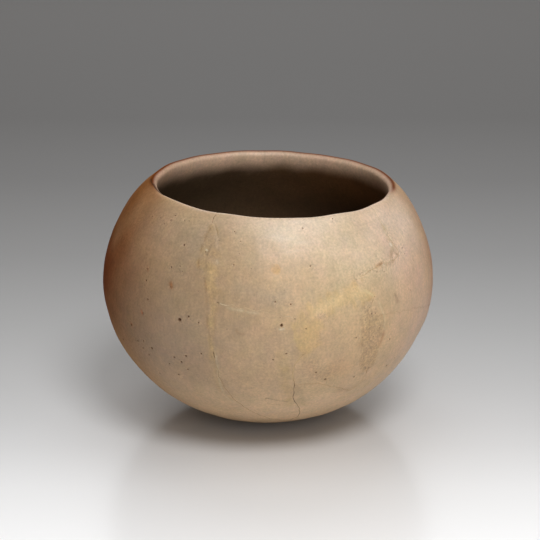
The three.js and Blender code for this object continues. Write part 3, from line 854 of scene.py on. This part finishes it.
def surface_colour(shape):
    """Colour, dirt and shade, speckle and polish at each vertex. Colour is the clay with its firing
    colours and the painted light and shade of some clouds; lighter along the lip's crest in front,
    partly rubbed and partly a painted highlight; with a dark orange band along the crest at the
    back;
    under the mends in front; and smoke blackening and painted shade inside. The dirt and shade value
    darkens the pits, the hairline and the split lip, partly dirt and partly painted shade in their
    hollows. Speckle is crumbled plaster. Polish is lost on the left flank and the back of the lip,
    under the blackening inside and in the darkened pits and lines."""
    azimuth, rise, places = shape["azimuth"], shape["rise"], shape["places"]
    flat, below, outer = to_map(azimuth, rise), below_lip(rise), ~shape["deep"]
    colour = clay_with_painted_light(azimuth, rise, places, outer)
    to_back = ease((np.abs(azimuth) - BACK_START) / BACK_FADE)
    # The lip's front crest is lightened: partly rubbed wear, partly a painted highlight.
    rubbed = np.exp(-(below / RUB_HIGHLIGHT_BAND) ** 2) * RUB_HIGHLIGHT_SHARE * (1 - to_back)
    colour = mixed(colour, rubbed, LIP_RUB_AND_HIGHLIGHT)
    # The back of the lip's crest gets a dark orange band.
    back_orange = np.exp(-(below / BACK_ORANGE_BAND) ** 2) * to_back
    colour = mixed(colour, back_orange, LIP_BACK_ORANGE)
    front = outer & (np.abs(azimuth) < MARKED_FRONT)
    colour[front] = mended(colour[front], flat[front], waves(places, 45, 3, 11)[front])
    # Inside, below the lip: smoke blackening and painted shade.
    soot_and_shade, sooty_and_shaded = soot_and_shade_inside(azimuth, places, below)
    share = (soot_and_shade * ~outer)[:, None]
    colour = colour * (1 - share) + sooty_and_shaded * share

    # Pits, the hairline and the split are darkened: partly dirt, partly painted shade in their
    # hollows.
    grime_and_shade = np.zeros(len(rise))
    grime_and_shade[front] = np.maximum(0.15 * near(flat[front], hairline, 0.25),
                              near(flat[front], split_outside, 0.5))
    grime_and_shade = np.where(outer, np.maximum(grime_and_shade, ease(pit_depth(flat) * 2.7) * 0.95), 0)
    lip_inside = ~outer & (below < LIP_BLEND) & (np.abs(azimuth - SPLIT_MIDDLE) < SPLIT_SPAN)
    grime_and_shade[lip_inside] = near(flat[lip_inside], split_inside, 1.0)
    speckle = np.zeros(len(rise))
    speckle[front] = crumbling(flat[front])
    flank = ease((FLANK_HALF - np.abs(turned_from(FLANK_MIDDLE, azimuth))) / FLANK_FADE)
    polish = np.where(outer, 1 - 0.96 * flank, 1 - 0.6 * soot_and_shade) * (1 - 0.9 * back_orange) * (1 - grime_and_shade)
    return {"colour_with_painted_light": colour, "grime_and_shade": grime_and_shade, "speckle": speckle, "polish": polish}


def add(tree, kind, inputs=(), **settings):
    """Adds one node with its settings. Its inputs are a list in socket order, or given by socket.
    Each is a value, a node whose first output is linked, or a node and its output."""
    node = tree.nodes.new("ShaderNode" + kind)
    for name, value in settings.items():
        setattr(node, name, value)
    for socket, value in (inputs.items() if isinstance(inputs, dict) else enumerate(inputs)):
        if isinstance(value, bpy.types.Node):
            value = (value, 0)
        if isinstance(value, tuple) and isinstance(value[0], bpy.types.Node):
            tree.links.new(value[0].outputs[value[1]], node.inputs[socket])
        else:
            node.inputs[socket].default_value = value
    return node


def new_material(name):
    """Blank material, its node tree and the object's own coordinates there."""
    material = bpy.data.materials.new(name)
    material.use_nodes = True
    material.node_tree.nodes.clear()
    return material, material.node_tree, (add(material.node_tree, "TexCoord"), "Object")


def per_metre(millimetres):
    """Scale of a pattern whose repeat is a length in mm: how many of them make a metre."""
    return 1000 / millimetres


def earthen(name, gloss_low, gloss_high, stroke_depth, grit_depth):
    """Material of grains bound together. Strokes of the tool lie level, 2 mm wide, and upright,
    1.5 mm wide; blotches of 9 mm and grains lighten and darken it and shift it a little to pink,
    yellow or grey; pores up to 0.6 mm across hold dirt. Where the speckle says so, the pores are
    more and larger and the grains differ more. It shines less where the polish is lost. Grains
    are drawn at 1.1 mm, coarser than the real silt of 0.1 mm, which would not show."""
    material, tree, place = new_material(name)
    clay_and_light, grime_and_shade, speckle, polish = (
        add(tree, "Attribute", attribute_name=label)
        for label in ("colour_with_painted_light", "grime_and_shade", "speckle", "polish"))
    lying = add(tree, "Mapping", {"Vector": place, "Scale": (1, 1, 9)})
    upright = add(tree, "Mapping", {"Vector": place, "Scale": (1, 1, 0.16)})
    strokes, blotches, grains, rubs = (
        add(tree, "TexNoise", {"Vector": vector, "Scale": per_metre(size), "Detail": detail,
                               "Roughness": roughness, "Distortion": distortion})
        for vector, size, detail, roughness, distortion in (
            (lying, 18, 4, 0.6, 0.3), (place, 9, 5, 0.62, 0),
            (place, 1.1, 3, 0.65, 0), (upright, 1.5, 3, 0.6, 0)))
    cells = add(tree, "TexVoronoi", {"Vector": place, "Scale": per_metre(1.9)})
    chance = add(tree, "SeparateColor", [(cells, "Color")])
    few = add(tree, "MapRange", [chance, 0.8, 1.0, 0.0, 0.15])
    many = add(tree, "MapRange", [(chance, 1), 0.35, 1.0, 0.0, 0.27])
    many = add(tree, "Math", [many, (speckle, "Fac")], operation="MULTIPLY")
    pore_size = add(tree, "Math", [few, many], operation="MAXIMUM")
    pore_edge = add(tree, "Math", [pore_size, (cells, "Distance")], operation="SUBTRACT")
    pores = add(tree, "MapRange", [pore_edge, 0.0, 0.07, 0.0, 1.0])
    blotch_tint = add(tree, "VectorMath", [(blotches, "Color"), (0.12, 0.12, 0.18),
                                           (0.94, 0.94, 0.91)], operation="MULTIPLY_ADD")
    grain_tint = add(tree, "VectorMath", [(grains, "Color"), (0.07, 0.07, 0.1),
                                          (0.965, 0.965, 0.95)], operation="MULTIPLY_ADD")
    tint = add(tree, "VectorMath", [blotch_tint, grain_tint], operation="MULTIPLY")
    toned = add(tree, "VectorMath", [clay_and_light, tint], operation="MULTIPLY")
    for field, swing in ((blotches, 0.08), (grains, 0.13), (strokes, 0.03), (rubs, 0.07)):
        tone = add(tree, "MapRange", [field, 0.3, 0.7, 1 - swing, 1 + swing], clamp=False)
        toned = add(tree, "VectorMath", {0: toned, "Scale": tone}, operation="SCALE")
    crumble = add(tree, "Math", [grains, 0.5], operation="SUBTRACT")
    crumble = add(tree, "Math", [crumble, (speckle, "Fac")], operation="MULTIPLY")
    crumble = add(tree, "Math", [crumble, 0.8, 1.0], operation="MULTIPLY_ADD")
    toned = add(tree, "VectorMath", {0: toned, "Scale": crumble}, operation="SCALE")
    # Pores are darkened as dirt; the pits, hairline and split take the same dark colour as dirt and
    # painted shade.
    dirt = add(tree, "Math", [pores, 0.6], operation="MULTIPLY")
    dirt = add(tree, "Math", [dirt, (grime_and_shade, "Fac")], operation="MAXIMUM")
    painted = add(tree, "Mix", {0: dirt, 6: toned, 7: (*linear(GRIME_AND_SHADE), 1)}, data_type="RGBA")
    relief = {}
    for field, strength, depth, inward in ((strokes, 0.5, stroke_depth, False),
                                           (grains, 0.5, grit_depth, False), (pores, 1, 0.15, True)):
        bump = add(tree, "Bump", {"Strength": strength, "Distance": depth * MM, "Height": field,
                                  **relief}, invert=inward)
        relief = {"Normal": bump}
    sheen = add(tree, "MapRange", [strokes, 0.3, 0.7, gloss_low, gloss_high])
    matt = add(tree, "MapRange", [(polish, "Fac"), 0.0, 1.0, 0.4, 0.0])
    rough = add(tree, "Math", [sheen, matt], operation="ADD")
    shine = add(tree, "Math", [(polish, "Fac"), 0.8], operation="MULTIPLY")
    surface = add(tree, "BsdfPrincipled", {"Base Color": (painted, 2), "Roughness": rough,
                                           "IOR": 1.5, "Specular IOR Level": shine, **relief})
    add(tree, "OutputMaterial", {"Surface": surface})
    return material


# Burnished low-fired earthenware: a pebble's rubbing pressed the surface to a low, patchy sheen.
burnished_clay = earthen("burnished_earthenware", 0.4, 0.52, 0.08, 0.08)

SMOOTH_TO = math.radians(34)


def placed(name, data):
    """New object of some data, put in the scene at the origin."""
    thing = bpy.data.objects.new(name, data)
    bpy.context.scene.collection.objects.link(thing)
    return thing


def make_piece(name, shape, paint, material):
    """Mesh object of a shape given in mm, painted vertex by vertex, smooth up to an angle, at the
    origin, riding on the bowl's one body."""
    mesh = bpy.data.meshes.new(name)
    mesh.from_pydata((shape["places"] * MM).tolist(), [], shape["faces"].tolist())
    for label, values in paint.items():
        kind, field = ("FLOAT_COLOR", "color") if values.ndim == 2 else ("FLOAT", "value")
        if values.ndim == 2:
            values = np.hstack([values, np.ones((len(values), 1))])
        marks = mesh.attributes.new(label, kind, "POINT")
        marks.data.foreach_set(field, values.astype(np.float32).ravel())
    mesh.polygons.foreach_set("use_smooth", np.ones(len(mesh.polygons), bool))
    mesh.set_sharp_from_angle(angle=SMOOTH_TO)
    mesh.materials.append(material)
    piece = placed(name, mesh)
    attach(piece, "root")
    return piece


CREST_SAG = 0.9998


def below_crest(flat):
    """Whether map points lie below the crest, by a hair more than its loop's facets sag."""
    return np.hypot(*flat.T) < map_reach[-2] * CREST_SAG


def inside_of(edge):
    """Test of whether map points lie inside an edge and below the crest."""
    return lambda flat: below_crest(flat) & is_within(flat, edge)


BODY_SPACING = 1.05
body_edge = move_left(broken_out, -JOINT / 2)
body_shape = cut_piece(
    body_edge, lambda flat: below_crest(flat) & ~is_within(flat, body_edge),
    lambda flat: sherd_top(flat, body_edge), wall_bottom, BODY_SPACING, pockets[:2])
body = make_piece("burnished_body", body_shape, surface_colour(body_shape), burnished_clay)
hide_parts("body_sherd")

# Rim sherd and the two lower sherds. Three pieces broke out of the front when the pot was
# crushed. They are the same burnished ware, and were glued back edge to edge.

SHERD_SPACING = 0.85
SHERDS = [
    ("burnished_rim", "rim_sherd",
     chain(left_top, level, patch_top, right_top[::-1], over_lip), [pockets[0], pockets[2]]),
    ("burnished_lower_left", "lower_left_sherd",
     chain(left_low, centre_low[::-1], centre_top[::-1], patch_side, level[::-1]), pockets[:1]),
    ("burnished_lower_right", "lower_right_sherd",
     chain(centre_top, seam[::-1], patch_under), pockets[1:2]),
]
for name, node, outline, own_pockets in SHERDS:
    edge = move_left(outline, JOINT / 2)
    shape = cut_piece(edge, inside_of(edge), lambda flat: sherd_top(flat, edge), wall_bottom,
                      SHERD_SPACING, own_pockets)
    sherd = make_piece(name, shape, surface_colour(shape), burnished_clay)
    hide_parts(node)

# Plaster patch and the three surface fills. The hole through the wall was closed with gypsum
# plaster, and the chips over the cracks were smeared full of it, rubbed down and toned to the clay.

HAIR_GAP = 0.02
PROUD = 0.06
SWELL_OVER = 2.0
DENT = 0.035
MEND_SPACING = 0.7

# Gypsum plaster toned with earth colours: rubbed with fine grit, it is matt and a little grainy.
toned_plaster = earthen("rubbed_gypsum_plaster", 0.58, 0.72, 0.06, 0.09)


def plaster_top(flat, edge):
    """Depth of a plaster face: the hand marks of the clay beside it, swelling proud of them over
    the first 2 mm in from the edge, with the small dents that rubbing leaves."""
    azimuth, rise = from_map(flat)
    swell = ease(gap_to(flat, closed(edge)) / SWELL_OVER)
    dents = DENT * waves(wall_place(azimuth, rise, 0), 13, 3, 9)
    return hand_marks(azimuth, rise) + HAIR_GAP - swell * (PROUD + dents)


def pocket_floor(fill_depth):
    """Depth of a fill's flat bottom, just above the floor of its pocket."""
    return lambda flat: np.full(len(flat), fill_depth + JOINT - HAIR_GAP)


MENDS = [
    ("smoothed_patch", "plaster_patch", patch_loop, JOINT / 2 - HAIR_GAP, wall_bottom,
     "patch_plaster"),
    ("left_seam_smear", "left_seam_fill", LEFT_FILL, JOINT - HAIR_GAP,
     pocket_floor(LEFT_FILL_DEPTH), "seam_plaster"),
    ("right_seam_smear", "right_seam_fill", RIGHT_FILL, JOINT - HAIR_GAP,
     pocket_floor(RIGHT_FILL_DEPTH), "seam_plaster"),
    ("spot_dab", "spot_fill", SPOT_FILL, JOINT - HAIR_GAP, pocket_floor(SPOT_FILL_DEPTH),
     "patch_plaster"),
]
for name, node, outline, spread, bottom, slot in MENDS:
    edge = move_left(outline, -spread)
    shape = cut_piece(edge, inside_of(edge), lambda flat: plaster_top(flat, edge), bottom,
                      MEND_SPACING)
    mend = make_piece(name, shape, surface_colour(shape), toned_plaster)
    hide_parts(node)

# Adhesive in the cracks. The mender's glue and fine plaster fill each joint between two sherds
# through the wall, a little below the surface, and took up dirt where the joint is open.

RIBBON_HALF = JOINT / 2 - HAIR_GAP
SHUT_RECESS = 0.005
OPEN_RECESS = 0.12
FORK_TRIM = 0.4
LIP_TRIM = 0.3
POCKET_LAP = 1.0
CRACKS = [
    (left_top, "#B0946E", "#8A6E50"), (left_low, "#B99A70", "#A4855E"),
    (level, "#D6C3A2", "#C2A884"), (right_top, "#CDB793", "#BFA17B"),
    (seam, "#BFA079", "#B8976E"), (centre_top, "#BFA272", "#A2845A"),
    (centre_low, "#A08560", "#5C442F"),
]


def joint_ribbon(line):
    """Strip that fills one crack: the line's points moved by half the joint to each side, laid
    just under the surface, or just under a pocket's floor, and once more near the inside."""
    passed = run_along(line, map_scale(line[1:]))
    between_forks = (passed > FORK_TRIM) & (passed < passed[-1] - FORK_TRIM)
    line = line[between_forks & (below_lip(from_map(line)[1]) > LIP_TRIM)]
    side = to_left(line) * (RIBBON_HALF * map_scale(line))[:, None]
    azimuth, rise = from_map(line)
    low = hand_marks(azimuth, rise) + SHUT_RECESS + OPEN_RECESS * openness(line)
    for pocket, depth in pockets:
        covered = is_within(line, pocket) | (gap_to(line, closed(pocket)) < POCKET_LAP)
        low = np.where(covered, depth + HAIR_GAP, low)
    high = wall_bottom(line) - HAIR_GAP
    corners = [wall_place(*from_map(line + shift), depth)
               for shift, depth in ((side, low), (-side, low), (-side, high), (side, high))]
    count = len(line)
    k = np.arange(count - 1)
    quads = [np.stack([a * count + k, b * count + k, b * count + k + 1, a * count + k + 1], -1)
             for a, b in ((0, 1), (1, 2), (2, 3), (3, 0))]
    ends = np.array([[3, 2, 1, 0], [0, 1, 2, 3]]) * count + np.array([[0], [count - 1]])
    return np.vstack(corners), np.vstack(quads + [ends])


# Aged glue with plaster dust in it: a dull, crumbly filling, brown where dirt has got in.
glue, tree, place = new_material("aged_adhesive")
stain = add(tree, "Attribute", attribute_name="glue_colour")
crumbs = add(tree, "TexNoise", {"Vector": place, "Scale": per_metre(0.9), "Detail": 3})
crumb_tone = add(tree, "MapRange", [crumbs, 0.3, 0.7, 0.8, 1.15])
stained = add(tree, "VectorMath", {0: stain, "Scale": crumb_tone}, operation="SCALE")
crumb_bump = add(tree, "Bump", {"Strength": 0.6, "Distance": 0.08 * MM, "Height": crumbs})
surface = add(tree, "BsdfPrincipled", {"Base Color": stained, "Roughness": 0.7, "IOR": 1.5,
                                       "Normal": crumb_bump})
add(tree, "OutputMaterial", {"Surface": surface})

strips = {"places": [], "faces": [], "glue_colour": []}
start = 0
for number, (line, pale, dark) in enumerate(CRACKS):
    places, faces = joint_ribbon(line)
    dirty = ease(0.5 + 0.8 * waves(places, 60 + number, 5, 20))
    for label, rows in zip(strips, (places, faces + start, mixed(linear(pale), dirty, dark))):
        strips[label].append(rows)
    start += len(places)
strips = {label: np.vstack(rows) for label, rows in strips.items()}
adhesive = make_piece("joint_adhesive", strips, {"glue_colour": strips["glue_colour"]}, glue)

# Floor, light and camera. The bowl stands on a pale, satin sweep of board that darkens away from
# the viewer, under soft lamps from the front right, from above, from behind and from low in front.

BOARD_HALF = 3.0
BOARD_DROP = 0.0002
mesh = bpy.data.meshes.new("floor_sweep")
corners = np.array([[-1, -1], [1, -1], [1, 1], [-1, 1]]) * BOARD_HALF
mesh.from_pydata(np.hstack([corners, np.full((4, 1), -BOARD_DROP)]).tolist(), [], [[0, 1, 2, 3]])
sweep = placed("floor_sweep", mesh)

# Satin emulsion paint on board gives a soft, faint reflection. Its shades by the distance behind
# the bowl, in metres: near white in front, mid grey far behind, a painted falloff of the light away
# from the viewer.
BOARD_SHADES = [(-0.16, "#FBFBFB"), (-0.1, "#EDEDED"), (-0.05, "#D9D9D9"), (-0.02, "#D0D0D0"),
                (0.03, "#C5C5C5"), (0.12, "#B4B4B4"), (0.25, "#9D9D9D"), (0.42, "#868686"),
                (0.6, "#797979"), (0.8, "#7D7D7D"), (1.07, "#848484")]
board, tree, place = new_material("satin_painted_board")
parts = add(tree, "SeparateXYZ", [place])
first, last = BOARD_SHADES[0][0], BOARD_SHADES[-1][0]
back = add(tree, "MapRange", [(parts, "Y"), first, last, 0.0, 1.0])
fade = add(tree, "ValToRGB", [back])
stops = fade.color_ramp.elements
for distance, _ in BOARD_SHADES[1:-1]:
    stops.new((distance - first) / (last - first))
for stop, (_, code) in zip(stops, BOARD_SHADES):
    stop.color = (*linear(code), 1)
surface = add(tree, "BsdfPrincipled", {"Base Color": fade, "Roughness": 0.25, "IOR": 1.5})
add(tree, "OutputMaterial", {"Surface": surface})
sweep.data.materials.append(board)

ROOM_LIGHT = (1.0, 0.93, 0.86, 1)
ROOM_STRENGTH = 0.16
world = bpy.data.worlds.new("soft_room")
world.use_nodes = True
room = world.node_tree.nodes["Background"]
room.inputs["Color"].default_value = ROOM_LIGHT
room.inputs["Strength"].default_value = ROOM_STRENGTH
bpy.context.scene.world = world

# Lamps: name, azimuth and height in degrees, distance and width in metres, watts.
AIM = Vector((0, 0, 0.07))
LAMPS = [("main_softbox", 20, 56, 1.5, 0.6, 10.6), ("top_softbox", 30, 73, 1.2, 1.6, 4.4),
         ("back_softbox", 181, 46, 1.5, 1.4, 8.0), ("low_softbox", 16, 20, 1.6, 1.0, 5.2)]
LAMP_TINT = (0.975, 0.985, 1.0)
for name, azimuth, height, distance, width, watts in LAMPS:
    turn, tip = math.radians(azimuth), math.radians(height)
    lamp = bpy.data.lights.new(name, "AREA")
    lamp.shape = "DISK"
    lamp.size = width
    lamp.energy = watts
    lamp.color = LAMP_TINT
    softbox = placed(name, lamp)
    away = Vector((math.sin(turn) * math.cos(tip), -math.cos(turn) * math.cos(tip), math.sin(tip)))
    softbox.location = AIM + away * distance
    softbox.rotation_euler = away.to_track_quat("Z", "Y").to_euler()

# The camera stands 0.95 m in front of the bowl and looks 18.7 degrees down at its middle.
SENSOR_WIDTH = 36
LENS = 132.55
CAMERA_PLACE = Vector((0.00098, -0.9472, 0.3945))
CAMERA_AIM = Vector((0.00098, 0, 0.07392))
camera_data = bpy.data.cameras.new("photo_camera")
camera_data.sensor_width = SENSOR_WIDTH
camera_data.lens = LENS
camera = placed("photo_camera", camera_data)
camera.location = CAMERA_PLACE
camera.rotation_euler = (CAMERA_AIM - CAMERA_PLACE).to_track_quat("-Z", "Y").to_euler()
bpy.context.scene.camera = camera
bpy.context.scene.view_settings.view_transform = "Standard"
